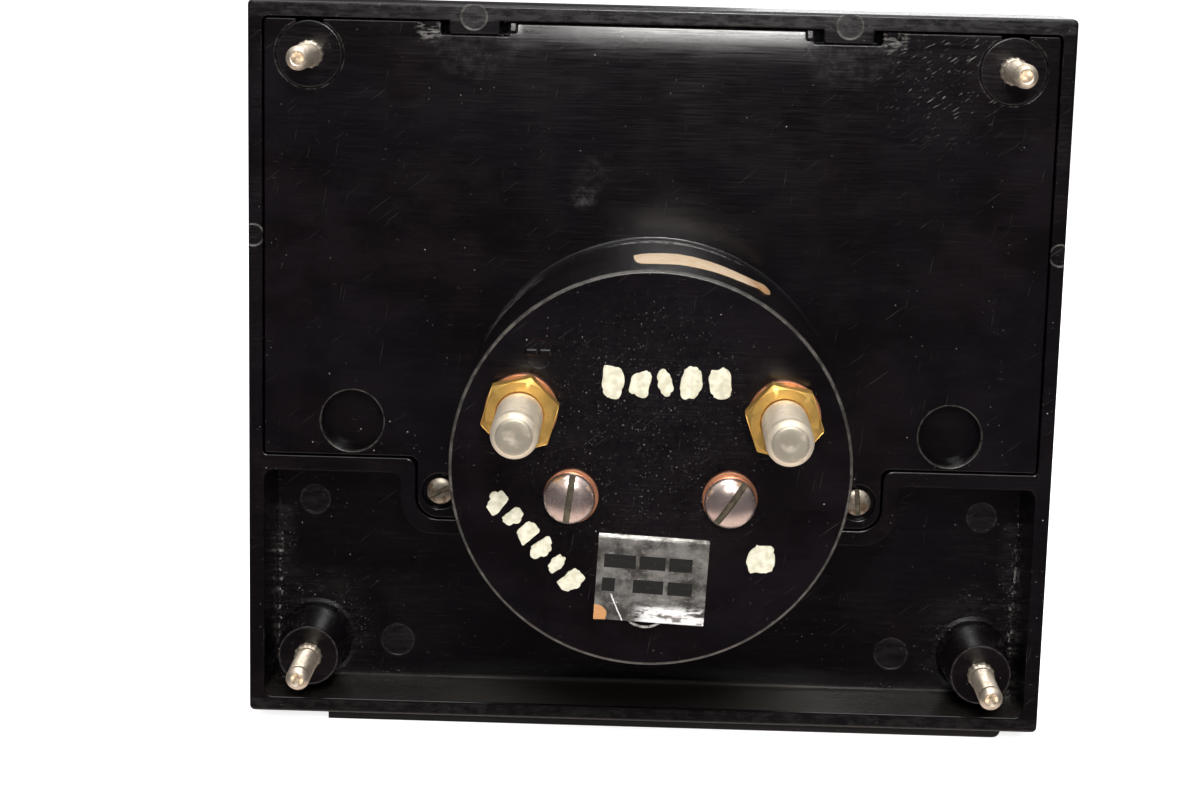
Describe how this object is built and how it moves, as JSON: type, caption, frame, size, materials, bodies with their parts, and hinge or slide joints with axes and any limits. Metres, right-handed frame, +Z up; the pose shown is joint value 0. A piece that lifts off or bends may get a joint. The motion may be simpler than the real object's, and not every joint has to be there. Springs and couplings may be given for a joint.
{
  "type": "rectangular analogue panel meter",
  "caption": "Black rectangular panel meter with a round rear barrel, threaded terminals, rear mounting studs, dial window and front zero adjuster.",
  "frame": {"origin": "on the barrel's axis, in the panel plane that the rear rim of the cover seats on", "axes": "+X to the right and +Z up as seen from the dial side, +Y out of the back along the barrel"},
  "size_m": [0.1206, 0.0653, 0.1095],
  "materials": {
    "phenolic": "black moulded phenolic, glossy and lightly scuffed",
    "nickel_steel": "nickel plate dulled by age",
    "brass": "satin brass",
    "copper": "copper, slightly tarnished",
    "screw_steel": "plated steel with traces of rust",
    "soft_iron": "plain iron",
    "magnet_alloy": "cast magnet alloy",
    "label_foil": "silver foil label, left blank",
    "scale_white": "matt off-white paint",
    "black_finish": "satin black",
    "shunt_alloy": "resistance alloy strip",
    "window_glass": "clear glass",
    "spring_bronze": "bronze strip"
  },
  "bodies": {
    "case": {"front_cover": "phenolic", "base": "phenolic", "mounting_stud_top_left": "nickel_steel", "mounting_stud_top_right": "nickel_steel", "mounting_stud_bottom_left": "nickel_steel", "mounting_stud_bottom_right": "nickel_steel", "terminal_stud_left": "nickel_steel", "terminal_stud_right": "nickel_steel", "terminal_nut_left": "brass", "terminal_nut_right": "brass", "shunt_nut_left": "brass", "shunt_nut_right": "brass", "rear_bridge": "brass", "front_bridge": "brass", "movement_post_left": "brass", "movement_post_right": "brass", "front_jewel": "brass", "rear_jewel": "brass", "terminal_washer_left": "copper", "terminal_washer_right": "copper", "barrel_screw_washer_left": "copper", "barrel_screw_washer_right": "copper", "lead_front": "copper", "lead_rear": "copper", "barrel_screw_left": "screw_steel", "barrel_screw_right": "screw_steel", "ear_screw_left": "screw_steel", "ear_screw_right": "screw_steel", "scale_screw_left": "screw_steel", "scale_screw_right": "screw_steel", "pole_shoe_left": "soft_iron", "pole_shoe_right": "soft_iron", "core": "soft_iron", "magnet": "magnet_alloy", "foil_label": "label_foil", "scale_plate": "scale_white", "shunt": "shunt_alloy", "window": "window_glass", "front_hairspring": "spring_bronze", "rear_hairspring": "spring_bronze"},
    "movement": {"moving_coil": "copper", "pointer": "black_finish", "balance_weight_tail": "brass"},
    "zero_adjuster": {"zero_adjuster": "black_finish", "adjuster_clip": "screw_steel"},
    "zero_lever": {"zero_lever": "brass"}
  },
  "joints": [
    {"name": "pointer_deflection", "type": "hinge", "parent": "case", "child": "movement", "pos_m": [0, 0, 0], "axis": [0, 1, 0], "range_deg": [0, 90], "stiffness_Nm_per_rad": 0.0002, "deforming": ["front_hairspring", "rear_hairspring"]},
    {"name": "zero_adjuster_turn", "type": "hinge", "parent": "case", "child": "zero_adjuster", "pos_m": [0, -0.012, -0.013], "axis": [0, 1, 0], "range_deg": [-45, 45]},
    {"name": "zero_lever_turn", "type": "hinge", "parent": "case", "child": "zero_lever", "pos_m": [0, -0.0046, 0], "axis": [0, 1, 0], "range_deg": [-5.5, 5.5]}
  ],
  "couplings": [
    {"joint": "zero_lever_turn", "follows": "zero_adjuster_turn", "ratio": 0.1096}
  ]
}
